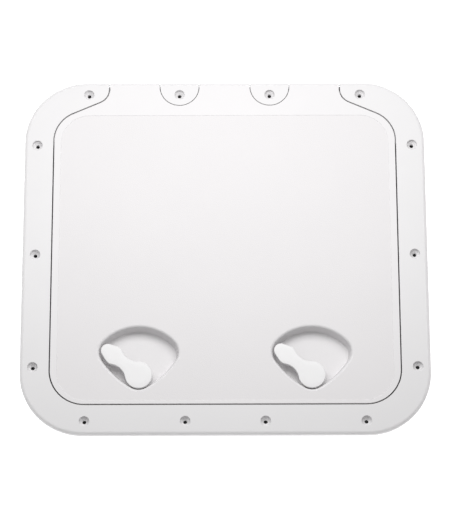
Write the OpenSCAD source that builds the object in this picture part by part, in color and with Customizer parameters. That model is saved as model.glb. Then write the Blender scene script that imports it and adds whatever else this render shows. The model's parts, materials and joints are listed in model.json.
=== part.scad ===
// Deck hatch: a frame let into the deck, a hinged lid and two turn-handle latches.
// The origin is the middle of the screw pattern, on the underside of the frame's flange.
// +Z is up and out of the deck, and +Y points to the hinge edge.

/* [Frame] */
// Width of the frame, side to side
outer_w = 513; // [508:1:520]
// Depth of the frame, front to hinge edge
outer_d = 463; // [461:1:465]
// Height of the flange above the deck
flange_h = 10; // [10:0.1:10.5]
// Corner radius of the frame
outer_r = 80; // [70:1:84]
// Rounding along the flange's outer edge
edge_r = 4.5; // [2:0.5:5]
// Width of the flange beside the lid
side_border = 37.35; // [36:0.05:39]
// Width of the flange in front of the lid
front_border = 38.34; // [37:0.02:40]
// Gap between the lid and the frame
gap = 1.5; // [1:0.1:1.8]
// Wall of the well and of the collar below the deck
wall = 4; // [3:0.5:4.5]
// How far the collar reaches below the deck
collar_h = 28; // [27:0.5:40]
// Width of the cut-out in the deck
cutout_w = 456; // [454:1:460]
// Depth of the cut-out in the deck
cutout_d = 406; // [404:1:408]

/* [Gutter and seal] */
// Depth of the gutter's underside below the deck
gutter_z = 15; // [14.5:0.1:15]
// Thickness of the gutter's floor
gutter_t = 3; // [2:0.5:4]
// Thickness of the upstand that the lid's gasket closes on
upstand_t = 3; // [2:0.5:3.5]
// Width of the lid's gasket
gasket_w = 6; // [5:0.5:6]

/* [Lid] */
// Radius of the lid's front corners
lid_front_r = 44; // [38:1:48]
// Radius of the lid's corners on the hinge side
lid_back_r = 40; // [36:1:42]
// Thickness of the lid's plate
plate_t = 4; // [3:0.5:4.5]
// Depth of the step between the lid's border and its panel
panel_step = 0.4; // [0.2:0.1:0.6]
// Height of the stiffening ribs under the lid
rib_h = 6; // [4:0.5:6]

/* [Hinge] */
// Radius of the lid's hinge knuckles
knuckle_r = 4.75; // [4.6:0.05:4.8]
// Diameter of the hinge rod
rod_d = 5; // [4:0.5:5]
// Length of the hinge rod
rod_l = 372; // [360:2:376]
// Radius of the two frame tabs between the knuckles
tab_r = 25.2; // [24:0.1:26]
// Distance of each tab from the middle of the hatch
tab_x = 58.1; // [56:0.1:60]
// Gap round each tab
tab_gap = 0.8; // [0.7:0.1:1]

/* [Deck screws] */
// Diameter of the screw holes
screw_d = 5; // [4:0.1:5.5]
// Diameter of the countersunk head's seat
head_d = 12.6; // [10:0.1:13]
// Depth of the straight part of the seat
head_h = 3.4; // [2:0.1:3.6]
// Distance of the screws from the frame's edge
screw_inset = 16.8; // [16.5:0.1:17]

/* [Latches] */
// Distance of each latch from the middle of the hatch
latch_x = 108; // [107:0.1:110]
// Distance of each latch from the screw pattern's middle, towards the front
latch_y = 155.6; // [155:0.1:156.5]
// Depth of the handle's recess
cup_depth = 19; // [18:0.5:19]
// Direction of the handle at rest
handle_angle = 141; // [139:1:141]
// Length of the handle from its pivot to the middle of its rounded nose
handle_l = 49.5; // [46:0.1:49.5]
// Thickness of the handle's paddle
handle_t = 7; // [6:0.5:7]
// Length of the latch's cam, from its pivot to its tip
cam_l = 35; // [33:0.5:35]

/* [Hidden] */
$fn = 96;
SIDES = [-1, 1];
eps = 0.01;

// The middle line of the gap between lid and frame
lid_x = outer_w / 2 - side_border;
lid_y = outer_d / 2 - front_border;
half_gap = gap / 2;
back_y = outer_d / 2;

// Hinge axis: the knuckles end flush with the flange's top and with its back edge
hinge_y = back_y - knuckle_r;
hinge_z = flange_h - knuckle_r;
rod_fit = 0.08;
knuckle_clear = 1.4;
knuckle_notch_y = hinge_y - knuckle_r - knuckle_clear;

// Tabs, tongues and the S-shaped parting line at the hinge corners
tab_y = back_y - 6.5;
tongue_r = 19.5;
tongue_x = 168;
tongue_y = back_y - 9.5;
corner_x = lid_x - lid_back_r;
corner_y = 152.3;

// The well is the straight-sided space below the lid
well_back = 187;
well_r = 44;
shelf_z = 4;
seal_in = 8;
gutter_top_z = -gutter_z + gutter_t;
upstand_z = 1;
gasket_gap = 0.3;

// Deck screws: 14 holes in four rows
screw_y = outer_d / 2 - screw_inset - 0.4;
screw_side_x = outer_w / 2 - screw_inset + 0.3;
screw_corner_x = 174.7;
screw_front_x = 49.8;
screw_side_y = 145.7;
seat_cone_h = (head_d - screw_d) / 2 - 0.6;
SCREWS = [for (s = SIDES) each [
    [s * screw_corner_x, screw_y], [s * tab_x, screw_y],
    [s * screw_corner_x, -screw_y], [s * screw_front_x, -screw_y],
    [s * screw_side_x, screw_side_y], [s * screw_side_x, 0], [s * screw_side_x, -screw_side_y]]];

// Underside of the flange
flange_top_t = 3.5;
rim_t = 4.5;
boss_r = 9;
web_t = 3;
side_webs = [-97, -48, 48, 97];
front_webs = [-131, -87, 0, 87, 131];
corner_webs = [-142, -128, -52, -38, 41, 139];
hinge_side_x = tongue_x - 14;
hinge_side_y = hinge_y - 6;

// Ribs round the collar that centre it in the deck's cut-out
cutout_r = 54;
cutout_fit = 0.5;
rib_pitch_y = 54;
rib_pitch_x = 60;
locating_rib_h = collar_h - 6;
collar_top_z = 1;

// Lid
plate_z = flange_h - plate_t;
skirt_t = 2;
skirt_z = plate_z - rib_h;
seat_rib_t = 1.5;
seat_rib_h = 3;
lid_rib_t = 2.4;
lid_ribs_x = [-165, -52, 0, 52, 165];
lid_ribs_y = [-82, -16, 50, 116];
panel_side = 9.6;
panel_front = 5.2;
panel_back = 185.7;
panel_r = 36;

// Hinge knuckles: where each starts and ends along X
mid_lobe = tab_x - tab_r - tab_gap / 2;
side_lobe = tab_x + tab_r + tab_gap / 2;
lobe_end = tongue_x - tongue_r - half_gap;
LOBES = [[-lobe_end, -side_lobe], [-mid_lobe, mid_lobe], [side_lobe, lobe_end]];

// Handle recess: a fan round the latch's pivot, with its narrow end to the front
cup_reach = 61;
cup_apex_r = 18.4;
cup_side_r = 118;
cup_side_x = 51;
cup_side_y = sqrt((cup_side_r - cup_apex_r) ^ 2 - cup_side_x ^ 2);

// Its corners touch the wide end's arc and the flank's
cup_corner_r = 19.4;
cup_side_l = cup_side_r - cup_apex_r;
cup_corner_l = cup_reach - cup_corner_r;
cup_corner_u = (cup_corner_l ^ 2 - (cup_side_r - cup_corner_r) ^ 2 + cup_side_l ^ 2) / (2 * cup_side_l);
cup_corner_v = sqrt(cup_corner_l ^ 2 - cup_corner_u ^ 2);
cup_corner_x = (cup_side_y * cup_corner_v - cup_side_x * cup_corner_u) / cup_side_l;
cup_corner_y = (cup_side_y * cup_corner_u + cup_side_x * cup_corner_v) / cup_side_l;
cup_side_a = atan2(-cup_side_y, cup_side_x);
cup_corner_a = atan2(cup_corner_y - cup_side_y, cup_corner_x + cup_side_x);
cup_top_a = atan2(cup_corner_y, cup_corner_x);
cup_wall = 3;
cup_draft = 2;
cup_floor_z = flange_h - cup_depth;
cup_floor_t = 3;
cup_boss_r = 12.5;
boss_bottom_z = cup_floor_z - cup_floor_t - 1.7;

// Latch stack, from the handle down to the screw head
pivot_r = 16.9;
grip_r = 11.8;
nose_l = 9.5;
grip_l = handle_l - nose_l;
tip_r = 8.7;
waist_r = 20.8;
waist_u = ((pivot_r + waist_r) ^ 2 - (grip_r + waist_r) ^ 2 + grip_l ^ 2) / (2 * grip_l);
waist_v = sqrt((pivot_r + waist_r) ^ 2 - waist_u ^ 2);
handle_top_z = flange_h - 0.5;
handle_low_z = handle_top_z - handle_t;
neck_r = 11;
neck_gap = 0.3;
journal_r = 8.42;
journal_fit = 0.08;
journal_low_z = boss_bottom_z - 0.3;
spindle_w = 8;
spindle_top_z = -2;
ring_t = 1.8;
ring_z = cup_floor_z - 2.4;
groove_h = 2.2;
washer_t = 1;
washer_r = 13;
washer_hole_r = 6;
cam_top_z = journal_low_z - washer_t;
cam_t = 4.3;
cam_drop = 0.3;
cam_low_z = cam_top_z - cam_t;
cam_hub_r = 12;
cam_tip_r = 7;
cam_angle = handle_angle - 131;
ramp_l = 11;
ramp_slope = 15;
ramp_side = 1.5;
cam_washer_r = 7.5;
cam_washer_t = 1.2;
cam_screw_r = 2.5;
cam_head_r = 4.75;
cam_head_h = 3;
hex_r = 2.3;
cam_screw_top_z = -6;

MOULDED = [0.93, 0.93, 0.94];
HANDLE = [0.90, 0.92, 0.90];
RUBBER = [0.12, 0.12, 0.13];
STEEL = [0.72, 0.73, 0.75];
NYLON = [0.86, 0.86, 0.82];

// ---- plans, drawn flat ----

// A rounded rectangle, x to each side and y0 to y1 front to back
module round_plan(x, y0, y1, r) {
    translate([-x + r, y0]) square([2 * (x - r), y1 - y0]);
    translate([-x, y0 + r]) square([2 * x, y1 - y0 - 2 * r]);
    for (sx = SIDES) {
        translate([sx * (x - r), y0 + r]) circle(r);
        translate([sx * (x - r), y1 - r]) circle(r);
    }
}

// The frame's outline, moved in by inset
module outer_plan(inset) {
    x = outer_w / 2 - inset;
    y = outer_d / 2 - inset;
    round_plan(x, -y, y, outer_r - inset);
}

// The well's outline, moved out by grow
module well_plan(grow) {
    round_plan(lid_x + grow, -lid_y - grow, well_back + grow, well_r + grow);
}

// Where the straight part of the S-shaped line touches the lid's corner and the tongue
s_turn =
    let (dx = corner_x - tongue_x, dy = tongue_y - corner_y)
    atan2(dy, dx) - asin((lid_back_r + tongue_r) / norm([dx, dy]));
s_normal = [-sin(s_turn), cos(s_turn)];
function s_corner(grow) = [-corner_x, corner_y] + (lid_back_r + grow) * s_normal;
function s_tongue(grow) = [-tongue_x, tongue_y] - (tongue_r - grow) * s_normal;

// Half of the lid's hinge side, between the corner and the back edge
module hinge_side_plan(grow) {
    tongue_edge = tongue_x - tongue_r + grow;
    difference() {
        polygon([[0, corner_y], [-corner_x, corner_y], s_corner(grow), s_tongue(grow),
                 [-tongue_x, tongue_y], [-tongue_edge, tongue_y],
                 [-tongue_edge, back_y + 1], [0, back_y + 1]]);
        translate([-tongue_x, tongue_y]) circle(tongue_r - grow);
    }
}

// The lid's outline: grow moves it out from the middle of the gap, tab_grow does so at the tabs
module lid_plan(grow, tab_grow) {
    x = lid_x + grow;
    front = -lid_y - grow;
    r = lid_front_r + grow;
    difference() {
        union() {
            translate([-x, -lid_y + lid_front_r]) square([2 * x, corner_y + lid_y - lid_front_r]);
            translate([-x + r, front]) square([2 * (x - r), lid_front_r + 2 * grow + 1]);
            for (s = SIDES) {
                translate([s * (lid_x - lid_front_r), -lid_y + lid_front_r]) circle(r);
                translate([s * corner_x, corner_y]) circle(lid_back_r + grow);
            }
            hinge_side_plan(grow);
            mirror([1, 0]) hinge_side_plan(grow);
        }
        for (s = SIDES) {
            translate([s * tab_x, tab_y]) circle(tab_r - tab_grow);
            translate([s * tab_x - tab_r + tab_grow, tab_y])
                square([2 * (tab_r - tab_grow), back_y - tab_y + 2]);
        }
    }
}

// Points along an arc round c
function arc(c, r, a0, a1, n) = [for (i = [0:n]) let (a = a0 + (a1 - a0) * i / n) c + r * [cos(a), sin(a)]];
function flipped(points) = [for (i = [len(points) - 1:-1:0]) [-points[i][0], points[i][1]]];

// Right-hand side and corner of the handle recess, moved in by inset
function cup_flank(inset) = concat(
    arc([-cup_side_x, cup_side_y], cup_side_r - inset, cup_side_a, cup_corner_a, 7),
    arc([cup_corner_x, cup_corner_y], cup_corner_r - inset, cup_corner_a, cup_top_a, 12));

// Outline of the handle recess round the latch's pivot: narrow end, flank, wide end, flank
module cup_plan(inset) {
    polygon(concat(
        arc([0, 0], cup_apex_r - inset, -180 - cup_side_a, cup_side_a, 8),
        cup_flank(inset),
        arc([0, 0], cup_reach - inset, cup_top_a, 180 - cup_top_a, 12),
        flipped(cup_flank(inset))));
}

// Two circles and their outer tangents: r1 at the origin, r2 at a distance l along X
module link_plan(r1, r2, l) {
    b = asin((r1 - r2) / l);
    circle(r1);
    translate([l, 0]) circle(r2);
    polygon([[0, 0], r1 * [sin(b), cos(b)], [l, 0] + r2 * [sin(b), cos(b)],
             [l, 0] + r2 * [sin(b), -cos(b)], r1 * [sin(b), -cos(b)]]);
}

// The handle's paddle: a round end on the pivot, a waist, and a grip that narrows to the nose
module paddle_plan() {
    circle(pivot_r);
    translate([grip_l, 0]) link_plan(grip_r, tip_r, nose_l);
    difference() {
        polygon([[0, 0], [waist_u, waist_v], [grip_l, 0], [waist_u, -waist_v]]);
        for (s = SIDES) translate([waist_u, s * waist_v]) circle(waist_r);
    }
}

// ---- helpers ----

module slab(z0, z1) {
    translate([0, 0, z0]) linear_extrude(z1 - z0) children();
}

// A ring between two outlines of the well
module well_ring(outer, inner, z0, z1) {
    slab(z0, z1) difference() {
        well_plan(outer);
        well_plan(inner);
    }
}

// A round bar on the hinge axis
module hinge_bar(x0, x1, r) {
    translate([x0, hinge_y, hinge_z]) rotate([0, 90, 0]) cylinder(h = x1 - x0, r = r);
}

// Places a piece on a latch's pivot, turned to the handle's direction
module at_latch(s, turn = 0) {
    translate([s * latch_x, -latch_y, 0]) rotate(turn) children();
}

module disc(r, z0, z1) {
    translate([0, 0, z0]) cylinder(h = z1 - z0, r = r);
}

module square_bar(w, z0, z1) {
    translate([-w / 2, -w / 2, z0]) cube([w, w, z1 - z0]);
}

// ---- frame ----

// Section of the flange from a corner's middle to the outer edge, rounded at the top
module edge_section() {
    difference() {
        square([outer_r, flange_h]);
        translate([outer_r - edge_r, flange_h - edge_r]) difference() {
            square(edge_r + 1);
            circle(edge_r);
        }
    }
}

module flange_blank() {
    cx = outer_w / 2 - outer_r;
    cy = outer_d / 2 - outer_r;
    translate([-cx, -cy, 0]) cube([2 * cx, 2 * cy, flange_h]);
    for (a = [0, 180]) rotate(a) {
        translate([cx, cy, 0]) rotate([90, 0, 0]) linear_extrude(2 * cy) edge_section();
        translate([-cx, cy, 0]) rotate([90, 0, 90]) linear_extrude(2 * cx) edge_section();
        translate([cx, cy, 0]) rotate_extrude(angle = 90) edge_section();
        translate([-cx, cy, 0]) rotate(90) rotate_extrude(angle = 90) edge_section();
    }
}

// Webs across the hollow underside of the flange
module web_plan() {
    for (y = side_webs) translate([-outer_w / 2, y - web_t / 2]) square([outer_w, web_t]);
    for (x = front_webs) translate([x - web_t / 2, -outer_d / 2]) square([web_t, outer_d / 2]);
    for (a = corner_webs) rotate(a) translate([0, -web_t / 2]) square([outer_w, web_t]);
}

// The part of the flange that is hollow below, all but the hinge side
module hollow_plan() {
    difference() {
        outer_plan(rim_t);
        well_plan(half_gap + wall);
        lid_plan(half_gap + flange_top_t, 0);
        translate([-hinge_side_x, well_back]) square([2 * hinge_side_x, back_y]);
        translate([-outer_w / 2, hinge_side_y]) square([outer_w, back_y]);
        web_plan();
        for (p = SCREWS) translate(p) circle(boss_r);
    }
}

module locating_rib_plan() {
    x = cutout_w / 2 - cutout_fit;
    y = cutout_d / 2 - cutout_fit;
    intersection() {
        round_plan(x, -y, y, cutout_r);
        for (i = [-2.5:2.5]) {
            translate([-x, i * rib_pitch_y - web_t / 2]) square([2 * x, web_t]);
            translate([i * rib_pitch_x - web_t / 2, -y]) square([web_t, 2 * y]);
        }
    }
}

module screw_seat() {
    cone_top = flange_h - head_h;
    disc(screw_d / 2, -1, flange_h);
    translate([0, 0, cone_top - seat_cone_h])
        cylinder(h = seat_cone_h, r1 = screw_d / 2, r2 = head_d / 2);
    disc(head_d / 2, cone_top, flange_h + 1);
}

module frame() {
    color(MOULDED) difference() {
        flange_blank();
        slab(-1, flange_h + 1) well_plan(half_gap);
        slab(-1, collar_top_z) {
            well_plan(half_gap + wall);
            locating_rib_plan();
        }
        slab(shelf_z, flange_h + 1) lid_plan(half_gap, tab_gap / 2);
        slab(-1, flange_h - flange_top_t) hollow_plan();
        slab(-1, shelf_z + 1) intersection() {
            lid_plan(half_gap, tab_gap / 2);
            translate([-tongue_x, knuckle_notch_y]) square([2 * tongue_x, back_y]);
        }
        hinge_bar(-outer_w / 2, outer_w / 2, rod_d / 2);
        for (p = SCREWS) translate(p) screw_seat();
    }
}

// The wall that goes down through the deck, with the ribs that centre it, let into the flange's underside
module collar() {
    color(MOULDED) difference() {
        union() {
            slab(-collar_h, collar_top_z) well_plan(half_gap + wall);
            slab(-locating_rib_h, collar_top_z) locating_rib_plan();
        }
        slab(-collar_h - 1, collar_top_z + 1) well_plan(half_gap);
    }
}

// Drain channel round the inside of the collar
module gutter() {
    color(MOULDED) well_ring(half_gap, -seal_in - upstand_t / 2, -gutter_z, gutter_top_z);
}

// The gutter's inner edge, that the gasket closes on
module gutter_upstand() {
    color(MOULDED) well_ring(-seal_in + upstand_t / 2, -seal_in - upstand_t / 2, gutter_top_z, upstand_z);
}

// ---- lid ----

module lid_plate_plan() {
    intersection() {
        lid_plan(-half_gap, -tab_gap / 2);
        translate([-outer_w / 2, -outer_d / 2]) square([outer_w, outer_d / 2 + hinge_y]);
    }
}

module lid_rib_plan() {
    intersection() {
        well_plan(-seal_in - gasket_w / 2 - eps);
        union() {
            for (x = lid_ribs_x) translate([x - lid_rib_t / 2, -outer_d / 2]) square([lid_rib_t, outer_d]);
            for (y = lid_ribs_y) translate([-outer_w / 2, y - lid_rib_t / 2]) square([outer_w, lid_rib_t]);
        }
    }
}

module panel_plan() {
    round_plan(lid_x - panel_side, -lid_y + panel_front, panel_back, panel_r);
}

// The recess's shape from height z1 down to z0, tapering from inset1 to inset0
module cup_body(z0, z1, inset0, inset1) {
    hull() {
        slab(z0, z0 + eps) cup_plan(inset0);
        slab(z1 - eps, z1) cup_plan(inset1);
    }
}

module lid() {
    color(MOULDED) difference() {
        union() {
            slab(plate_z, flange_h) lid_plate_plan();
            slab(hinge_z, flange_h) intersection() {
                lid_plate_plan();
                translate([-outer_w / 2, well_back + 2]) square([outer_w, outer_d]);
            }
            for (l = LOBES) hinge_bar(l[0], l[1], knuckle_r);
            well_ring(-half_gap, -half_gap - skirt_t, skirt_z, plate_z + 1);
            well_ring(-half_gap, -seal_in + gasket_w / 2, plate_z - seat_rib_h, plate_z + 1);
            well_ring(-seal_in - gasket_w / 2, -seal_in - gasket_w / 2 - seat_rib_t,
                      plate_z - seat_rib_h, plate_z + 1);
            slab(plate_z - rib_h, plate_z + 1) lid_rib_plan();
        }
        slab(flange_h - panel_step, flange_h + 1) panel_plan();
        for (s = SIDES) at_latch(s) slab(plate_z - 1, flange_h + 1) cup_plan(-cup_wall);
        for (l = LOBES) hinge_bar(l[0] - 1, l[1] + 1, rod_d / 2 + rod_fit);
    }
}

// The handle's recess: it fills the lid's opening face to face, and holds the handle's journal
module handle_cup(s) {
    color(MOULDED) at_latch(s) difference() {
        union() {
            slab(plate_z, flange_h - panel_step) cup_plan(-cup_wall);
            cup_body(cup_floor_z - cup_floor_t, plate_z + eps, cup_draft - cup_wall, -cup_wall);
            disc(cup_boss_r, boss_bottom_z, cup_floor_z - 1);
        }
        cup_body(cup_floor_z, flange_h + 1, cup_draft, 0);
        disc(journal_r + journal_fit, boss_bottom_z - 1, cup_floor_z + 1);
    }
}

module lid_gasket() {
    color(RUBBER) well_ring(-seal_in + gasket_w / 2, -seal_in - gasket_w / 2,
                            upstand_z + gasket_gap, plate_z);
}

// ---- hinge ----

module hinge_rod() {
    color(STEEL) hinge_bar(-rod_l / 2, rod_l / 2, rod_d / 2);
}

// Closes one end of the rod's hole, flush with the curved edge of the flange
module rod_plug(s) {
    color(MOULDED) intersection() {
        hinge_bar(s < 0 ? -outer_w / 2 : rod_l / 2, s < 0 ? -rod_l / 2 : outer_w / 2, rod_d / 2);
        slab(0, flange_h) outer_plan(1);
    }
}

// ---- latches ----

module handle(s) {
    color(HANDLE) at_latch(s, handle_angle) difference() {
        union() {
            slab(handle_low_z, handle_top_z) paddle_plan();
            disc(neck_r, cup_floor_z + neck_gap, handle_low_z + 1);
            disc(journal_r, journal_low_z, cup_floor_z + 1);
        }
        square_bar(spindle_w, journal_low_z - 1, spindle_top_z);
        translate([0, 0, ring_z]) difference() {
            disc(journal_r + 1, -groove_h / 2, groove_h / 2);
            disc(journal_r - ring_t, -groove_h, groove_h);
        }
    }
}

module spindle(s) {
    color(STEEL) at_latch(s, handle_angle) difference() {
        square_bar(spindle_w, cam_low_z + 0.2, spindle_top_z);
        disc(cam_screw_r, cam_low_z - 1, cam_screw_top_z + 1);
    }
}

module o_ring(s) {
    color(RUBBER) at_latch(s) translate([0, 0, ring_z])
        rotate_extrude() translate([journal_r - ring_t / 2, 0]) circle(ring_t / 2);
}

module thrust_washer(s) {
    color(NYLON) at_latch(s) difference() {
        disc(washer_r, cam_top_z, journal_low_z);
        disc(washer_hole_r, cam_top_z - 1, journal_low_z + 1);
    }
}

// The cam turns under the gutter's floor: its leading edge is ramped
module cam(s) {
    arm_top = cam_top_z - cam_drop;
    arm_l = cam_l - cam_tip_r;
    color(STEEL) at_latch(s, cam_angle) difference() {
        union() {
            disc(cam_hub_r, cam_low_z, cam_top_z);
            slab(cam_low_z, arm_top) link_plan(cam_hub_r - 1, cam_tip_r, arm_l);
        }
        rotate(handle_angle - cam_angle) square_bar(spindle_w, cam_low_z - 1, cam_top_z + 1);
        translate([arm_l - ramp_l, -ramp_side, arm_top]) rotate([ramp_slope, 0, 0])
            translate([0, -cam_hub_r, 0]) cube([cam_l, cam_hub_r, cam_t]);
    }
}

module cam_washer(s) {
    color(STEEL) at_latch(s) difference() {
        disc(cam_washer_r, cam_low_z - cam_washer_t, cam_low_z);
        disc(cam_screw_r + 0.2, cam_low_z - cam_washer_t - 1, cam_low_z + 1);
    }
}

module cam_screw(s) {
    head_top = cam_low_z - cam_washer_t;
    color(STEEL) at_latch(s) difference() {
        union() {
            disc(cam_screw_r, head_top - 1, cam_screw_top_z);
            disc(cam_head_r, head_top - cam_head_h, head_top);
        }
        translate([0, 0, head_top - cam_head_h - 1]) cylinder(h = cam_head_h, r = hex_r, $fn = 6);
    }
}

frame();
collar();
gutter();
gutter_upstand();
lid();
handle_cup(-1);  // handle_cup_left
handle_cup(1);  // handle_cup_right
lid_gasket();
hinge_rod();
rod_plug(-1);  // rod_plug_left
rod_plug(1);  // rod_plug_right
handle(-1);  // handle_left
spindle(-1);  // spindle_left
o_ring(-1);  // o_ring_left
thrust_washer(-1);  // thrust_washer_left
cam(-1);  // cam_left
cam_washer(-1);  // cam_washer_left
cam_screw(-1);  // cam_screw_left
handle(1);  // handle_right
spindle(1);  // spindle_right
o_ring(1);  // o_ring_right
thrust_washer(1);  // thrust_washer_right
cam(1);  // cam_right
cam_washer(1);  // cam_washer_right
cam_screw(1);  // cam_screw_right
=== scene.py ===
"""Looks of a moulded deck hatch: frame, lid, gasket, turn handles and their hardware."""
import json
import math

import bmesh
import bpy
from mathutils import Matrix, Vector


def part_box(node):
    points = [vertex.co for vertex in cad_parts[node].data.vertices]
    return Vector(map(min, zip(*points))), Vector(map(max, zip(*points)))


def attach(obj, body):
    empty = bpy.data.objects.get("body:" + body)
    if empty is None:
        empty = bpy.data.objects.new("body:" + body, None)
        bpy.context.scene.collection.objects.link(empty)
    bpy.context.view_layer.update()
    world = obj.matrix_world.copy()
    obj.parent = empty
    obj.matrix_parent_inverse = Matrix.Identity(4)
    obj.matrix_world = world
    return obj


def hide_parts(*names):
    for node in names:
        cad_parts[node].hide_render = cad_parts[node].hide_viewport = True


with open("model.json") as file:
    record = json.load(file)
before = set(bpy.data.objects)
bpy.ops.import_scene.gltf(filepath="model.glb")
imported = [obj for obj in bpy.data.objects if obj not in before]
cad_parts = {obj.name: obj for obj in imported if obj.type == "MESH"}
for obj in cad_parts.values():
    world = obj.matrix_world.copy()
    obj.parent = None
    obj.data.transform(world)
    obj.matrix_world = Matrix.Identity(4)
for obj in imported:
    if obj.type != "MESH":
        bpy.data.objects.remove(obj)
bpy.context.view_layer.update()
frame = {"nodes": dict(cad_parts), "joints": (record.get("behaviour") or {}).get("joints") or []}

MM = 0.001

# ---- sizes, in millimetres, and angles, in degrees ----

# Places taken from the CAD frame
JOINTS = {joint["name"]: joint for joint in frame["joints"]}
OUTER_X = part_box("frame")[1].x / MM
OUTER_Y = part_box("frame")[1].y / MM
FLANGE_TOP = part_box("frame")[1].z / MM
COLLAR_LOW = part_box("collar")[0].z / MM
LID_EDGE_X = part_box("lid")[1].x / MM
LID_EDGE_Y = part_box("lid")[0].y / MM
HINGE_Y = JOINTS["lid_hinge"]["pos_m"][1] / MM
HINGE_Z = JOINTS["lid_hinge"]["pos_m"][2] / MM
LATCH_Y = JOINTS["latch_turn_left"]["pos_m"][1] / MM
LATCH_X = {"left": JOINTS["latch_turn_left"]["pos_m"][0] / MM,
           "right": JOINTS["latch_turn_right"]["pos_m"][0] / MM}
HANDLE_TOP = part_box("handle_left")[1].z / MM
JOURNAL_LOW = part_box("handle_left")[0].z / MM

# How far a solid runs past what it cuts, or into what it joins
OVER = 1.0
FAR = 2.0
BEHIND = OUTER_Y + 5.0

# Frame
OUTER_R = 80.0
OUTER_ROUND = 4.5
OUTER_FOOT = 0.6
EDGE_ROUND = 0.35
EDGE_TURN = 82.0
GAP = 1.5
TAB_GAP = 0.8
LID_X = LID_EDGE_X + GAP / 2
LID_Y = -LID_EDGE_Y + GAP / 2
WALL = 4.0
SHELF_Z = 4.0
WELL_BACK = 187.0
WELL_R = 44.0
SEAL_IN = 8.0
UPSTAND_T = 3.0
UPSTAND_Z = 1.0
GUTTER_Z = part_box("gutter")[0].z / MM
GUTTER_T = 3.0
RIM_T = 4.5
HOLLOW_TOP = FLANGE_TOP - 3.5
SEAT_WALL = 3.5
BOSS_R = 9.0
WEB_T = 3.0
SIDE_WEBS = (-97, -48, 48, 97)
FRONT_WEBS = (-131, -87, 0, 87, 131)
CORNER_WEBS = (-142, -128, -52, -38, 41, 139)
HINGE_SIDE_X = 154.0
HINGE_SIDE_Y = HINGE_Y - 6
CUTOUT_X = 227.5
CUTOUT_Y = 202.5
CUTOUT_R = 54.0
LOCATING_LOW = COLLAR_LOW + 6.0
LOCATING_X = range(-150, 151, 60)
LOCATING_Y = range(-135, 136, 54)
ROD_R = 2.5
ROD_FIT = 0.08

# Screw holes
SCREW_R = 2.5
HEAD_R = 6.3
HEAD_H = 3.4
HEAD_ROUND = 0.5
CONE_H = 3.2
SCREW_Y = OUTER_Y - 17.2
SCREW_X = OUTER_X - 16.5
SCREWS = [(side * x, y)
          for side in (-1, 1)
          for x, y in ((174.7, SCREW_Y), (58.1, SCREW_Y), (174.7, -SCREW_Y), (49.8, -SCREW_Y),
                       (SCREW_X, 145.7), (SCREW_X, 0.0), (SCREW_X, -145.7))]

# Hinge side: tabs, tongues and the S-shaped parting line
TAB_X = 58.1
TAB_Y = OUTER_Y - 6.5
TAB_R = 25.2
TONGUE_X = 168.0
TONGUE_Y = OUTER_Y - 9.5
TONGUE_R = 19.5
FRONT_R = 44.0
BACK_R = 40.0
CORNER_X = LID_X - BACK_R
CORNER_Y = 152.3
KNUCKLE_R = FLANGE_TOP - HINGE_Z
NOTCH_Y = HINGE_Y - KNUCKLE_R - 1.4

# Lid
PLATE_Z = FLANGE_TOP - 4.0
LOBE_Y = WELL_BACK + 2.0
SKIRT_T = 2.0
SKIRT_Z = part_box("lid")[0].z / MM
SEAT_Z = PLATE_Z - 3.0
SEAT_RIB_T = 1.5
SEAT_LAP = 0.2
GASKET_W = 6.0
GASKET_Z = UPSTAND_Z + 0.3
GASKET_CROWN = 2.1
RIB_T = 2.4
RIB_LOW = SKIRT_Z
RIB_CLEAR = 0.5
RIBS_X = (-165, -52, 0, 52, 165)
RIBS_Y = (-82, -16, 50, 116)
PANEL_TOP = FLANGE_TOP - 0.4
PANEL_X = LID_X - 9.6
PANEL_FRONT = -LID_Y + 5.2
PANEL_BACK = 185.7
PANEL_R = 36.0
PANEL_SLOPE = 0.5
PANEL_FLARE = 0.6

# Handle recess
CUP_REACH = 61.0
CUP_APEX_R = 18.4
CUP_SIDE_R = 118.0
CUP_SIDE_X = 51.0
CUP_SIDE = (-CUP_SIDE_X, math.sqrt((CUP_SIDE_R - CUP_APEX_R) ** 2 - CUP_SIDE_X ** 2))
CUP_CORNER_R = 19.4
CUP_FLOOR = FLANGE_TOP - 19.0
CUP_RIM = 3.4
CUP_LIP = 0.5
CUP_DRAFT = 2.0
CUP_HEEL = 1.5
CUP_WALL = 3.0
BOSS_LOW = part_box("handle_cup_left")[0].z / MM
CUP_BOSS_R = 12.5

# Handle
HANDLE_ANGLE = 141.0
HANDLE_T = 7.0
PIVOT_R = 16.9
GRIP_R = 11.8
GRIP_L = 40.0
NOSE_R = 8.7
NOSE_L = 49.5
WAIST_R = 20.8
HANDLE_ROUND = 1.0
HANDLE_DOME = 0.2
HANDLE_FOOT = ((1.5, 0.0), (0.45, 0.3), (0.0, 1.2))
HANDLE_CROWN = ((3.0, 0.1), (4.5, 0.16), (6.0, HANDLE_DOME))
NECK_R = 11.0
NECK_LIFT = 0.3
NECK_CHAMFER = 0.6
JOURNAL_R = 8.42
SPINDLE_W = 8.0
SPINDLE_TOP = -2.0
RING_T = 1.8
RING_Z = CUP_FLOOR - 2.4
GROOVE_HALF = 1.1

# Stage
FLOOR_X = 4000.0
FLOOR_T = 10.0
FLOOR_DROP = 0.2
# The dark sheet under the hatch is painted shade: it darkens the screw holes and the floor under the
# flange.
SHADE_SHEET_T = 0.15
SHADE_SHEET_SIDE = 2.0
SHADE_SHEET_INSET = 10.0
SHADE_SHEET_BEHIND = 8.0

# Camera, leaning back from straight above a point on the flange
CAMERA_LENS = 139.3
CAMERA_AIM_Y = -14.3
CAMERA_AWAY = 2587.0
CAMERA_LEAN = 15.73
CAMERA_SWAY = -0.054
CAMERA_ROLL = -0.147


# ---- outlines: closed loops of points, anticlockwise ----

def polar(centre, radius, degrees):
    angle = math.radians(degrees)
    return (centre[0] + radius * math.cos(angle), centre[1] + radius * math.sin(angle))


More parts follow.
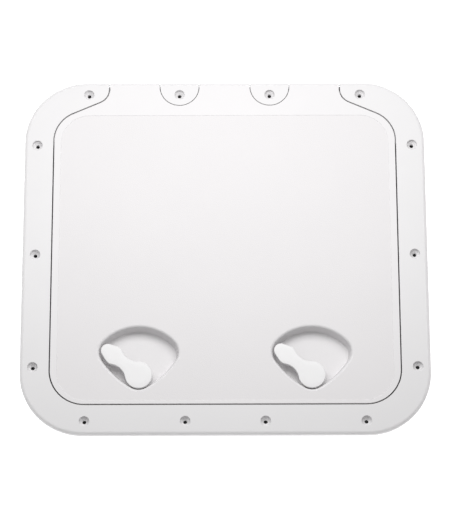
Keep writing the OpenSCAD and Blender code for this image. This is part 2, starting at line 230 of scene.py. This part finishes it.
def arc(centre, radius, start, end, steps):
    """Points along an arc from one angle to another, in degrees."""
    return [polar(centre, radius, start + (end - start) * i / steps) for i in range(steps + 1)]


def heading(start, end):
    return math.degrees(math.atan2(end[1] - start[1], end[0] - start[0]))


def mirrored(points):
    return [(-x, y) for x, y in reversed(points)]


def round_outline(x, low, high, radius, steps=20):
    """A rounded rectangle, x to each side and from low to high."""
    right = (arc((x - radius, low + radius), radius, -90, 0, steps)
             + arc((x - radius, high - radius), radius, 0, 90, steps))
    return right + mirrored(right)


def outer_outline(inset):
    return round_outline(OUTER_X - inset, -OUTER_Y + inset, OUTER_Y - inset, OUTER_R - inset, 32)


def well_outline(grow):
    return round_outline(LID_X + grow, -LID_Y - grow, WELL_BACK + grow, WELL_R + grow, 24)


def lid_outline(grow, tab_grow, back):
    """The parting line between lid and frame, moved out by grow, and by tab_grow round the tabs."""
    corner, tongue = (CORNER_X, CORNER_Y), (TONGUE_X, TONGUE_Y)
    apart = math.dist(corner, tongue)
    lean = math.degrees(math.asin((BACK_R + TONGUE_R) / apart))
    normal = heading(corner, tongue) + lean - 90
    tab = TAB_R - tab_grow
    right = [(0.0, -LID_Y - grow)]
    right += arc((LID_X - FRONT_R, -LID_Y + FRONT_R), FRONT_R + grow, -90, 0, 24)
    right += arc(corner, BACK_R + grow, 0, normal, 20)
    right += arc(tongue, TONGUE_R - grow, normal + 180, 180, 16)
    right += [(TONGUE_X - TONGUE_R + grow, back), (TAB_X + tab, back)]
    right += arc((TAB_X, TAB_Y), tab, 0, -180, 40)
    right += [(TAB_X - tab, back), (0.0, back)]
    return right + mirrored(right)[1:-1]


def cup_corner():
    """Middle of the recess's corner, whose arc touches the wide end's arc and the flank's."""
    side, corner = CUP_SIDE_R - CUP_APEX_R, CUP_REACH - CUP_CORNER_R
    u = (corner ** 2 - (CUP_SIDE_R - CUP_CORNER_R) ** 2 + side ** 2) / (2 * side)
    v = math.sqrt(corner ** 2 - u ** 2)
    return ((CUP_SIDE[1] * v + CUP_SIDE[0] * u) / side, (CUP_SIDE[1] * u - CUP_SIDE[0] * v) / side)


def cup_outline(inset):
    """The handle recess round its pivot: narrow end, flank, wide end, flank."""
    corner = cup_corner()
    side_start = heading(CUP_SIDE, (0, 0))
    side_end = heading(CUP_SIDE, corner)
    top = heading((0, 0), corner)
    right = arc((0, 0), CUP_APEX_R - inset, -90, side_start, 6)
    right += arc(CUP_SIDE, CUP_SIDE_R - inset, side_start, side_end, 10)[1:]
    right += arc(corner, CUP_CORNER_R - inset, side_end, top, 14)[1:]
    right += arc((0, 0), CUP_REACH - inset, top, 90, 12)[1:]
    return right + mirrored(right)[1:-1]


def paddle_outline(inset):
    """The handle's paddle along X, from its nose round the grip and waist to the pivot, and back."""
    pivot_reach, grip_reach = PIVOT_R + WAIST_R, GRIP_R + WAIST_R
    along = (pivot_reach ** 2 - grip_reach ** 2 + GRIP_L ** 2) / (2 * GRIP_L)
    waist = (along, math.sqrt(pivot_reach ** 2 - along ** 2))
    to_grip, to_pivot = heading(waist, (GRIP_L, 0)), heading(waist, (0, 0))
    lean = math.degrees(math.acos((GRIP_R - NOSE_R) / (NOSE_L - GRIP_L)))
    upper = arc((NOSE_L, 0), NOSE_R - inset, 0, lean, 16)
    upper += arc((GRIP_L, 0), GRIP_R - inset, lean, to_grip + 180, 12)
    upper += arc(waist, WAIST_R + inset, to_grip, to_pivot, 20)[1:]
    upper += arc((0, 0), PIVOT_R - inset, to_pivot + 180, 180, 32)[1:]
    return upper + [(x, -y) for x, y in reversed(upper[1:-1])]


def placed(points, x, y, degrees=0.0):
    """The points turned about the origin, then moved to x and y."""
    turn = Matrix.Rotation(math.radians(degrees), 2)
    return [tuple(turn @ Vector(p) + Vector((x, y))) for p in points]


def rounding(radius, turn, steps):
    """(inwards, upwards) steps up a rounded edge that leans in by turn, upright at 0 and level at 90."""
    angles = [math.radians(turn * i / steps) for i in range(steps + 1)]
    return [(radius * (1 - math.cos(a)), radius * math.sin(a)) for a in angles]


def square(side, x, y, degrees):
    half = side / 2
    return placed([(-half, -half), (half, -half), (half, half), (-half, half)], x, y, degrees)


# ---- solids ----

def new_object(name, mesh):
    obj = bpy.data.objects.new(name, mesh)
    bpy.context.scene.collection.objects.link(obj)
    return obj


def loft(name, sections):
    """A closed solid through loops at rising heights: sections are (points, z)."""
    bm = bmesh.new()
    rings = [[bm.verts.new((x * MM, y * MM, z * MM)) for x, y in points] for points, z in sections]
    for low, high in zip(rings, rings[1:]):
        count = len(low)
        for i in range(count):
            j = (i + 1) % count
            bm.faces.new((low[i], low[j], high[j], high[i]))
    bm.faces.new(list(reversed(rings[0])))
    bm.faces.new(rings[-1])
    mesh = bpy.data.meshes.new(name)
    bm.to_mesh(mesh)
    bm.free()
    return new_object(name, mesh)


def prism(name, points, low, high):
    return loft(name, [(points, low), (points, high)])


def block(name, x0, x1, y0, y1, z0, z1):
    return prism(name, [(x0, y0), (x1, y0), (x1, y1), (x0, y1)], z0, z1)


def lathe(name, profile, x, y, steps=48):
    """A solid of revolution round an upright axis: profile is (radius, z), rising."""
    return loft(name, [(arc((x, y), radius, 0, 360 - 360 / steps, steps - 1), z) for radius, z in profile])


def bar_along_x(name, radius, x0, x1, steps=40):
    """A round bar on the hinge axis."""
    obj = lathe(name, [(radius, x0), (radius, x1)], 0, 0, steps)
    turn = Matrix.Rotation(math.radians(90), 4, "Y")
    obj.data.transform(Matrix.Translation((0, HINGE_Y * MM, HINGE_Z * MM)) @ turn)
    return obj


def merged(name, objects):
    """One object that holds several separate solids."""
    bm = bmesh.new()
    for obj in objects:
        bm.from_mesh(obj.data)
        drop(obj)
    mesh = bpy.data.meshes.new(name)
    bm.to_mesh(mesh)
    bm.free()
    return new_object(name, mesh)


def drop(obj):
    mesh = obj.data
    bpy.data.objects.remove(obj)
    bpy.data.meshes.remove(mesh)


def combine(base, other, operation):
    """Joins, cuts or intersects two solids, and uses up the second."""
    modifier = base.modifiers.new("combine", "BOOLEAN")
    modifier.operation = operation
    modifier.solver = "MANIFOLD"
    modifier.object = other
    evaluated = base.evaluated_get(bpy.context.evaluated_depsgraph_get())
    mesh = bpy.data.meshes.new_from_object(evaluated)
    base.modifiers.clear()
    old = base.data
    base.data = mesh
    bpy.data.meshes.remove(old)
    drop(other)
    return base


def add(base, other):
    return combine(base, other, "UNION")


def cut(base, other):
    return combine(base, other, "DIFFERENCE")


def common(base, other):
    return combine(base, other, "INTERSECT")


def ring(name, outer, inner, low, high):
    """A band between two outlines of the well."""
    return cut(prism(name, well_outline(outer), low, high),
               prism("inside", well_outline(inner), low - OVER, high + OVER))


def smooth(obj, degrees=32.0):
    """Smooth shading with crisp edges, and flat faces kept flat."""
    bm = bmesh.new()
    bm.from_mesh(obj.data)
    bmesh.ops.remove_doubles(bm, verts=bm.verts, dist=2e-6)
    bmesh.ops.dissolve_degenerate(bm, edges=bm.edges, dist=1e-6)
    bm.to_mesh(obj.data)
    bm.free()
    obj.data.shade_smooth()
    obj.data.set_sharp_from_angle(angle=math.radians(degrees))
    weighted = obj.modifiers.new("flat faces", "WEIGHTED_NORMAL")
    weighted.keep_sharp = True
    return obj


# ---- frame ----

def flange_blank():
    sections = [(outer_outline(OUTER_FOOT), 0.0), (outer_outline(0.0), OUTER_FOOT)]
    for inwards, upwards in rounding(OUTER_ROUND, 90, 10):
        sections.append((outer_outline(inwards), FLANGE_TOP - OUTER_ROUND + upwards))
    return loft("frame_moulding", sections)


def parting(side, low):
    """The lid's shape at the gap: side 1 is the frame's edge and -1 the lid's, rounded at the top."""
    half, half_tab = GAP / 2, TAB_GAP / 2
    sections = [(lid_outline(side * half, side * half_tab, BEHIND), low)]
    for inwards, upwards in rounding(EDGE_ROUND, EDGE_TURN, 4):
        outline = lid_outline(side * (half + inwards), side * (half_tab + inwards), BEHIND)
        sections.append((outline, FLANGE_TOP - EDGE_ROUND + upwards))
    return loft("parting", sections + [(sections[-1][0], FLANGE_TOP + FAR)])


def screw_seats():
    cone_top = FLANGE_TOP - HEAD_H
    cone_low = cone_top - CONE_H
    rim = [(HEAD_R + inwards, FLANGE_TOP - HEAD_ROUND + upwards)
           for inwards, upwards in rounding(HEAD_ROUND, 80, 4)]
    profile = [(SCREW_R, -FAR), (SCREW_R, cone_low), (HEAD_R, cone_top)] + rim
    profile.append((rim[-1][0], FLANGE_TOP + OVER))
    return merged("seats", [lathe("seat", profile, x, y, 40) for x, y in SCREWS])


def flange_pockets():
    """The hollows in the flange's underside, between its rim, webs and screw bosses."""
    low, high = -FAR, HOLLOW_TOP + OVER
    half, reach = WEB_T / 2, 2 * OUTER_X
    back = BEHIND + FAR
    pockets = prism("pockets", outer_outline(RIM_T), -OVER, HOLLOW_TOP)
    solids = [prism("collar", well_outline(GAP / 2 + WALL), low, high),
              prism("lid_seat", lid_outline(GAP / 2 + SEAT_WALL, 0, BEHIND), low, high),
              block("hinge_side", -HINGE_SIDE_X, HINGE_SIDE_X, WELL_BACK, back, low, high),
              block("rod_side", -OUTER_X, OUTER_X, HINGE_SIDE_Y, back, low, high)]
    solids += [block("web", -OUTER_X, OUTER_X, y - half, y + half, low, high) for y in SIDE_WEBS]
    solids += [block("web", x - half, x + half, -OUTER_Y, 0, low, high) for x in FRONT_WEBS]
    for degrees in CORNER_WEBS:
        strip = placed([(0, -half), (reach, -half), (reach, half), (0, half)], 0, 0, degrees)
        solids.append(prism("web", strip, low, high))
    for solid in solids:
        cut(pockets, solid)
    bosses = [lathe("boss", [(BOSS_R, low), (BOSS_R, high)], x, y) for x, y in SCREWS]
    return cut(pockets, merged("bosses", bosses))


def grid(name, places_x, places_y, thick, low, high):
    """Crossed bars that stand upright, right across the hatch."""
    half = thick / 2
    bars = [block(name, x - half, x + half, -OUTER_Y, OUTER_Y, low, high) for x in places_x]
    bars += [block(name, -OUTER_X, OUTER_X, y - half, y + half, low, high) for y in places_y]
    crossed = bars[0]
    for bar in bars[1:]:
        add(crossed, bar)
    return crossed


def locating_ribs():
    """Short ribs outside the collar that centre the hatch in the deck's cut-out."""
    ribs = prism("ribs", round_outline(CUTOUT_X, -CUTOUT_Y, CUTOUT_Y, CUTOUT_R), LOCATING_LOW, OVER)
    return common(ribs, grid("bar", LOCATING_X, LOCATING_Y, WEB_T, COLLAR_LOW, FAR))


def knuckle_notches():
    notches = prism("notches", lid_outline(GAP / 2, TAB_GAP / 2, BEHIND), -OVER, SHELF_Z + OVER)
    behind = block("behind", -TONGUE_X, TONGUE_X, NOTCH_Y, BEHIND + FAR, -FAR, SHELF_Z + FAR)
    return common(notches, behind)


def make_frame():
    half = GAP / 2
    obj = flange_blank()
    add(obj, prism("collar", well_outline(half + WALL), COLLAR_LOW, OVER))
    add(obj, locating_ribs())
    cut(obj, flange_pockets())
    cut(obj, prism("well", well_outline(half), COLLAR_LOW - OVER, FLANGE_TOP + OVER))
    cut(obj, parting(1, SHELF_Z))
    upstand = UPSTAND_T / 2
    add(obj, ring("gutter", half + OVER, -SEAL_IN - upstand, GUTTER_Z, GUTTER_Z + GUTTER_T))
    add(obj, ring("upstand", -SEAL_IN + upstand, -SEAL_IN - upstand, GUTTER_Z + OVER, UPSTAND_Z))
    cut(obj, knuckle_notches())
    cut(obj, bar_along_x("rod_hole", ROD_R, -OUTER_X, OUTER_X))
    cut(obj, screw_seats())
    return smooth(obj)


# ---- lid ----

def plate_section():
    """Section of the lid across the hinge: plate, lobe and knuckle."""
    front = -LID_Y - FAR
    section = [(front, PLATE_Z), (LOBE_Y, PLATE_Z), (LOBE_Y, HINGE_Z)]
    section += arc((HINGE_Y, HINGE_Z), KNUCKLE_R, 180, 450, 36)
    return section + [(front, FLANGE_TOP)]


def lid_plate():
    """The plate with its lobes and knuckles, edges rounded."""
    plate = prism("lid_moulding", plate_section(), -LID_X - FAR, LID_X + FAR)
    turn = Matrix(((0, 0, 1, 0), (1, 0, 0, 0), (0, 1, 0, 0), (0, 0, 0, 1)))
    plate.data.transform(turn)
    return common(plate, parting(-1, -FAR))


def cup_profile(inset_by, floor, top):
    """(inset, z) up the recess's wall, from the rounded heel at its floor to the rim."""
    profile = [(CUP_DRAFT + inset_by + inwards, floor + CUP_HEEL - upwards)
               for inwards, upwards in reversed(rounding(CUP_HEEL, 90, 6))]
    profile.append((inset_by, top))
    return profile


def cup_outside(x):
    sections = [(placed(cup_outline(inset), x, LATCH_Y), z)
                for inset, z in cup_profile(-CUP_WALL, CUP_FLOOR - CUP_WALL, PLATE_Z + OVER)]
    return loft("cup_outside", sections)


def cup_inside(x):
    """What the recess takes out of the lid, with a wide soft rim."""
    rim = [(-inwards, PANEL_TOP - CUP_RIM + upwards) for inwards, upwards in rounding(CUP_RIM, 84, 12)]
    profile = cup_profile(0.0, CUP_FLOOR, rim[0][1] - CUP_LIP) + rim
    profile.append((rim[-1][0], FLANGE_TOP + FAR))
    return loft("cup_inside", [(placed(cup_outline(inset), x, LATCH_Y), z) for inset, z in profile])


def panel_recess():
    sections = []
    for grow, z in ((0.0, PANEL_TOP), (PANEL_SLOPE, FLANGE_TOP), (PANEL_FLARE, FLANGE_TOP + OVER)):
        outline = round_outline(PANEL_X + grow, PANEL_FRONT - grow, PANEL_BACK + grow, PANEL_R + grow)
        sections.append((outline, z))
    return loft("panel", sections)


def lid_ribs():
    inside = well_outline(-SEAL_IN - GASKET_W / 2 - RIB_CLEAR)
    ribs = grid("rib", RIBS_X, RIBS_Y, RIB_T, RIB_LOW, PLATE_Z + OVER)
    return common(ribs, prism("inside", inside, RIB_LOW - OVER, PLATE_Z + FAR))


def make_lid():
    half = GAP / 2
    seat_out, seat_in = -SEAL_IN + GASKET_W / 2, -SEAL_IN - GASKET_W / 2
    high = PLATE_Z + OVER
    obj = lid_plate()
    add(obj, ring("skirt", -half, -half - SKIRT_T, SKIRT_Z, high))
    add(obj, ring("seat_outer", -half - SEAT_LAP, seat_out, SEAT_Z, high))
    add(obj, ring("seat_inner", seat_in, seat_in - SEAT_RIB_T, SEAT_Z, high))
    add(obj, lid_ribs())
    for x in LATCH_X.values():
        add(obj, cup_outside(x))
        boss = [(CUP_BOSS_R, BOSS_LOW), (CUP_BOSS_R, CUP_FLOOR - OVER)]
        add(obj, lathe("boss", boss, x, LATCH_Y))
    cut(obj, panel_recess())
    for x in LATCH_X.values():
        cut(obj, cup_inside(x))
        bore = JOURNAL_R + ROD_FIT
        cut(obj, lathe("bore", [(bore, BOSS_LOW - OVER), (bore, CUP_FLOOR + OVER)], x, LATCH_Y))
    cut(obj, bar_along_x("rod_bore", ROD_R + ROD_FIT, -OUTER_X, OUTER_X))
    return smooth(obj)


def gasket_section():
    """(outwards, z) round the seal's section, from its flat back over the crown that faces down."""
    half = GASKET_W / 2
    section = [(half, PLATE_Z)]
    for degrees in range(0, 181, 18):
        angle = math.radians(degrees)
        section.append((half * math.cos(angle), GASKET_Z + GASKET_CROWN * (1 - math.sin(angle))))
    return section + [(-half, PLATE_Z)]


def make_gasket():
    """A ring of D-shaped rubber in its seat."""
    bm = bmesh.new()
    rings = [[bm.verts.new((x * MM, y * MM, z * MM)) for x, y in well_outline(-SEAL_IN + grow)]
             for grow, z in gasket_section()]
    for first, second in zip(rings, rings[1:] + rings[:1]):
        for i in range(len(first)):
            j = (i + 1) % len(first)
            bm.faces.new((first[i], second[i], second[j], first[j]))
    bmesh.ops.recalc_face_normals(bm, faces=bm.faces)
    mesh = bpy.data.meshes.new("gasket")
    bm.to_mesh(mesh)
    bm.free()
    return smooth(new_object("lid_seal", mesh))


# ---- handles ----

def neck_profile(top):
    """(radius, z) up the journal with its O-ring groove, then the neck up to the paddle."""
    groove_low, groove_high = RING_Z - GROOVE_HALF, RING_Z + GROOVE_HALF
    neck_low = CUP_FLOOR + NECK_LIFT
    return [(JOURNAL_R, JOURNAL_LOW), (JOURNAL_R, groove_low), (JOURNAL_R - RING_T, groove_low),
            (JOURNAL_R - RING_T, groove_high), (JOURNAL_R, groove_high), (JOURNAL_R, neck_low),
            (NECK_R - NECK_CHAMFER, neck_low), (NECK_R, neck_low + NECK_CHAMFER), (NECK_R, top)]


def make_handle(side):
    x = LATCH_X[side]
    low, edge = HANDLE_TOP - HANDLE_T, HANDLE_TOP - HANDLE_DOME
    profile = [(inset, low + rise) for inset, rise in HANDLE_FOOT]
    profile += [(inwards, edge - HANDLE_ROUND + upwards)
                for inwards, upwards in rounding(HANDLE_ROUND, 84, 8)]
    profile += [(inset, edge + rise) for inset, rise in HANDLE_CROWN]
    sections = [(placed(paddle_outline(inset), x, LATCH_Y, HANDLE_ANGLE), z) for inset, z in profile]
    obj = loft("turn_handle_" + side, sections)
    add(obj, lathe("neck", neck_profile(low + OVER), x, LATCH_Y))
    cut(obj, prism("socket", square(SPINDLE_W, x, LATCH_Y, HANDLE_ANGLE), JOURNAL_LOW - OVER, SPINDLE_TOP))
    return smooth(obj, 40)


# ---- materials ----

def shader_group(name, inputs, outputs):
    """A new node group: inputs are (name, kind, default) and outputs (name, kind)."""
    group = bpy.data.node_groups.new(name, "ShaderNodeTree")
    for label, kind, default in inputs:
        socket = group.interface.new_socket(label, in_out="INPUT", socket_type=kind)
        socket.default_value = default
    for label, kind in outputs:
        group.interface.new_socket(label, in_out="OUTPUT", socket_type=kind)
    return group, group.nodes.new("NodeGroupInput"), group.nodes.new("NodeGroupOutput")


def noise(tree, scale, detail):
    """Noise over the object's own coordinates; scale is in features per metre."""
    coordinates = tree.nodes.new("ShaderNodeTexCoord")
    node = tree.nodes.new("ShaderNodeTexNoise")
    node.inputs["Scale"].default_value = scale
    node.inputs["Detail"].default_value = detail
    tree.links.new(coordinates.outputs["Object"], node.inputs["Vector"])
    return node


def math_node(tree, operation, *values):
    """The result of a sum on two values, each a number or a socket."""
    node = tree.nodes.new("ShaderNodeMath")
    node.operation = operation
    for socket, value in zip(node.inputs, values):
        if isinstance(value, bpy.types.NodeSocket):
            tree.links.new(value, socket)
        else:
            socket.default_value = value
    return node.outputs[0]


def moulded_plastic_group():
    """Slow colour drift, faint flow marks and orange peel over moulded plastic."""
    group, source, sink = shader_group(
        "moulded_plastic_surface",
        [("Colour", "NodeSocketColor", (0.8, 0.8, 0.8, 1)), ("Drift", "NodeSocketFloat", 0.02),
         ("Gloss drift", "NodeSocketFloat", 0.05), ("Roughness", "NodeSocketFloat", 0.4)],
        [("Colour", "NodeSocketColor"), ("Roughness", "NodeSocketFloat"), ("Height", "NodeSocketFloat")])
    drift = noise(group, scale=9.0, detail=3.0)
    flow = noise(group, scale=60.0, detail=4.0)
    peel = noise(group, scale=420.0, detail=2.0)
    centred = math_node(group, "SUBTRACT", drift.outputs["Fac"], 0.5)
    amount = math_node(group, "MULTIPLY", centred, source.outputs["Drift"])
    brightness = math_node(group, "ADD", amount, 1.0)
    scaled = group.nodes.new("ShaderNodeVectorMath")
    scaled.operation = "SCALE"
    group.links.new(source.outputs["Colour"], scaled.inputs[0])
    group.links.new(brightness, scaled.inputs["Scale"])
    group.links.new(scaled.outputs[0], sink.inputs["Colour"])
    marks = math_node(group, "SUBTRACT", flow.outputs["Fac"], 0.5)
    gloss = math_node(group, "MULTIPLY", marks, source.outputs["Gloss drift"])
    roughness = math_node(group, "ADD", gloss, source.outputs["Roughness"])
    group.links.new(roughness, sink.inputs["Roughness"])
    group.links.new(peel.outputs["Fac"], sink.inputs["Height"])
    return group


def anti_slip_group():
    """A fine leathery grain."""
    group, source, sink = shader_group(
        "anti_slip_grain", [("Size", "NodeSocketFloat", 900.0)], [("Height", "NodeSocketFloat")])
    coordinates = group.nodes.new("ShaderNodeTexCoord")
    cells = group.nodes.new("ShaderNodeTexVoronoi")
    cells.feature = "SMOOTH_F1"
    cells.inputs["Smoothness"].default_value = 0.6
    group.links.new(coordinates.outputs["Object"], cells.inputs["Vector"])
    group.links.new(source.outputs["Size"], cells.inputs["Scale"])
    fine = noise(group, scale=2600.0, detail=2.0)
    coarse_part = math_node(group, "MULTIPLY", cells.outputs["Distance"], 0.7)
    fine_part = math_node(group, "MULTIPLY", fine.outputs["Fac"], 0.3)
    group.links.new(math_node(group, "ADD", coarse_part, fine_part), sink.inputs["Height"])
    return group


def new_material(name):
    material = bpy.data.materials.new(name)
    material.use_nodes = True
    return material, material.node_tree, material.node_tree.nodes["Principled BSDF"]


def place_group(tree, group, **values):
    node = tree.nodes.new("ShaderNodeGroup")
    node.node_tree = group
    for label, value in values.items():
        node.inputs[label.replace("_", " ")].default_value = value
    return node


def bump(tree, height, shader, strength, distance):
    node = tree.nodes.new("ShaderNodeBump")
    node.inputs["Strength"].default_value = strength
    node.inputs["Distance"].default_value = distance
    tree.links.new(height, node.inputs["Height"])
    tree.links.new(node.outputs["Normal"], shader.inputs["Normal"])


def plain_material(name, colour, roughness):
    material, tree, shader = new_material(name)
    shader.inputs["Base Color"].default_value = (*colour, 1)
    shader.inputs["Roughness"].default_value = roughness
    return material, tree, shader


def plastic_material(name, surface, colour, roughness, peel=0.1, grain=None):
    """Moulded plastic with faint orange peel, or with a grain in its place."""
    material, tree, shader = new_material(name)
    node = place_group(tree, surface, Colour=(*colour, 1), Roughness=roughness,
                       Drift=0.03, Gloss_drift=0.08)
    tree.links.new(node.outputs["Colour"], shader.inputs["Base Color"])
    tree.links.new(node.outputs["Roughness"], shader.inputs["Roughness"])
    height = node.outputs["Height"]
    if grain is not None:
        height = place_group(tree, grain).outputs["Height"]
    bump(tree, height, shader, strength=peel, distance=0.0004)
    return material


def metal_material(name, colour, roughness, scratches):
    """Bare metal with fine scratches, so many to the metre."""
    material, tree, shader = plain_material(name, colour, roughness)
    shader.inputs["Metallic"].default_value = 1.0
    fine = noise(tree, scale=scratches, detail=3.0)
    worn = math_node(tree, "MULTIPLY", fine.outputs["Fac"], 0.25)
    tree.links.new(math_node(tree, "ADD", worn, roughness), shader.inputs["Roughness"])
    bump(tree, fine.outputs["Fac"], shader, strength=0.15, distance=0.0002)
    return material


def rubber_material():
    material, tree, shader = new_material("seal_rubber")
    fine = noise(tree, scale=1500.0, detail=3.0)
    shade = tree.nodes.new("ShaderNodeMapRange")
    shade.inputs["To Min"].default_value = 0.55
    shade.inputs["To Max"].default_value = 0.8
    shader.inputs["Base Color"].default_value = (0.025, 0.025, 0.027, 1)
    tree.links.new(fine.outputs["Fac"], shade.inputs["Value"])
    tree.links.new(shade.outputs["Result"], shader.inputs["Roughness"])
    bump(tree, fine.outputs["Fac"], shader, strength=0.2, distance=0.0002)
    return material


def dress(obj, *materials):
    obj.data.materials.clear()
    for material in materials:
        obj.data.materials.append(material)


def paint_panel(obj):
    """Gives the lid's sunk panel its own material, the second one."""
    for face in obj.data.polygons:
        at_panel = math.isclose(face.center.z, PANEL_TOP * MM, abs_tol=1e-5)
        face.material_index = int(at_panel and face.normal.z > 0.99)


# ---- camera, lights and floor ----

def make_camera():
    data = bpy.data.cameras.new("camera")
    data.lens = CAMERA_LENS
    data.sensor_width = 36.0
    data.clip_end = 20.0
    camera = new_object("camera", data)
    aim = Matrix.Translation((0.0, CAMERA_AIM_Y * MM, FLANGE_TOP * MM))
    lean = Matrix.Rotation(math.radians(CAMERA_LEAN), 4, "X")
    sway = Matrix.Rotation(math.radians(CAMERA_SWAY), 4, "Y")
    roll = Matrix.Rotation(math.radians(CAMERA_ROLL), 4, "Z")
    away = Matrix.Translation((0.0, 0.0, CAMERA_AWAY * MM))
    camera.matrix_world = aim @ lean @ sway @ roll @ away
    bpy.context.scene.camera = camera


def make_light(name, place, size, power):
    """A soft panel of light that points at the middle of the hatch."""
    data = bpy.data.lights.new(name, "AREA")
    data.shape = "RECTANGLE"
    data.size, data.size_y = size
    data.energy = power
    light = new_object(name, data)
    light.location = place
    light.visible_camera = False
    light.rotation_euler = (-Vector(place)).to_track_quat("-Z", "Y").to_euler()


def make_floor(top):
    floor = block("floor", -FLOOR_X, FLOOR_X, -FLOOR_X, FLOOR_X, top - FLOOR_T, top)
    material, tree, shader = plain_material("floor_paper", (0.95, 0.95, 0.95), 0.9)
    shader.inputs["Emission Color"].default_value = (1, 1, 1, 1)
    shader.inputs["Emission Strength"].default_value = 0.9
    dress(floor, material)


def make_painted_shade_sheet(low):
    """A thin dark sheet under the hatch, painted shade that shows through the screw holes as their dark
    depths.
    """
    outline = round_outline(OUTER_X - SHADE_SHEET_SIDE, -OUTER_Y + SHADE_SHEET_INSET, OUTER_Y + SHADE_SHEET_BEHIND, OUTER_R)
    shade_sheet = prism("shade_sheet", outline, low, low + SHADE_SHEET_T)
    # Near-black colour painted as the shade seen through the screw holes.
    material, tree, shader = plain_material("painted_shade_sheet", (0.02, 0.02, 0.02), 0.95)
    dress(shade_sheet, material)


def make_world():
    world = bpy.data.worlds.new("studio")
    world.use_nodes = True
    background = world.node_tree.nodes["Background"]
    background.inputs["Color"].default_value = (1, 1, 1, 1)
    background.inputs["Strength"].default_value = 0.40
    bpy.context.scene.world = world


def make_stage():
    """A pale floor and a dark sheet of painted shade under the hatch, with soft light from above the hinge
    side.
    """
    floor_top = COLLAR_LOW - FLOOR_DROP
    make_floor(floor_top)
    make_painted_shade_sheet(floor_top)
    make_world()
    make_light("key", place=(-0.02, 0.32, 0.85), size=(1.0, 0.5), power=8.0)
    bpy.context.scene.view_settings.view_transform = "Standard"


# ---- putting it together ----

def main():
    make_camera()
    make_stage()
    surface = moulded_plastic_group()
    grain = anti_slip_group()
    frame_plastic = plastic_material("frame_plastic", surface, (0.728, 0.719, 0.725), 0.48)
    lid_plastic = plastic_material("lid_plastic", surface, (0.742, 0.729, 0.736), 0.50)
    panel_plastic = plastic_material("panel_plastic", surface, (0.742, 0.725, 0.732), 0.62,
                                     peel=0.35, grain=grain)
    handle_plastic = plastic_material("handle_plastic", surface, (0.80, 0.793, 0.797), 0.42, peel=0.05)
    nylon = plastic_material("nylon", surface, (0.74, 0.73, 0.68), 0.45)
    rubber = rubber_material()
    steel = metal_material("drawn_steel", (0.62, 0.62, 0.63), 0.18, scratches=900.0)
    cast = metal_material("cast_steel", (0.56, 0.56, 0.56), 0.32, scratches=1800.0)

    hatch_frame = make_frame()
    dress(hatch_frame, frame_plastic)
    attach(hatch_frame, "frame")
    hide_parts("frame", "collar", "gutter", "gutter_upstand")

    lid = make_lid()
    dress(lid, lid_plastic, panel_plastic)
    paint_panel(lid)
    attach(lid, "lid")
    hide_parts("lid", "handle_cup_left", "handle_cup_right")

    gasket = make_gasket()
    dress(gasket, rubber)
    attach(gasket, "lid")
    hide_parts("lid_gasket")

    for side in ("left", "right"):
        handle = make_handle(side)
        dress(handle, handle_plastic)
        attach(handle, "latch_" + side)
        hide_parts("handle_" + side)
        dress(frame["nodes"]["spindle_" + side], steel)
        dress(frame["nodes"]["o_ring_" + side], rubber)
        dress(frame["nodes"]["thrust_washer_" + side], nylon)
        dress(frame["nodes"]["cam_" + side], cast)
        dress(frame["nodes"]["cam_washer_" + side], steel)
        dress(frame["nodes"]["cam_screw_" + side], steel)
        dress(frame["nodes"]["rod_plug_" + side], frame_plastic)
    dress(frame["nodes"]["hinge_rod"], steel)


main()
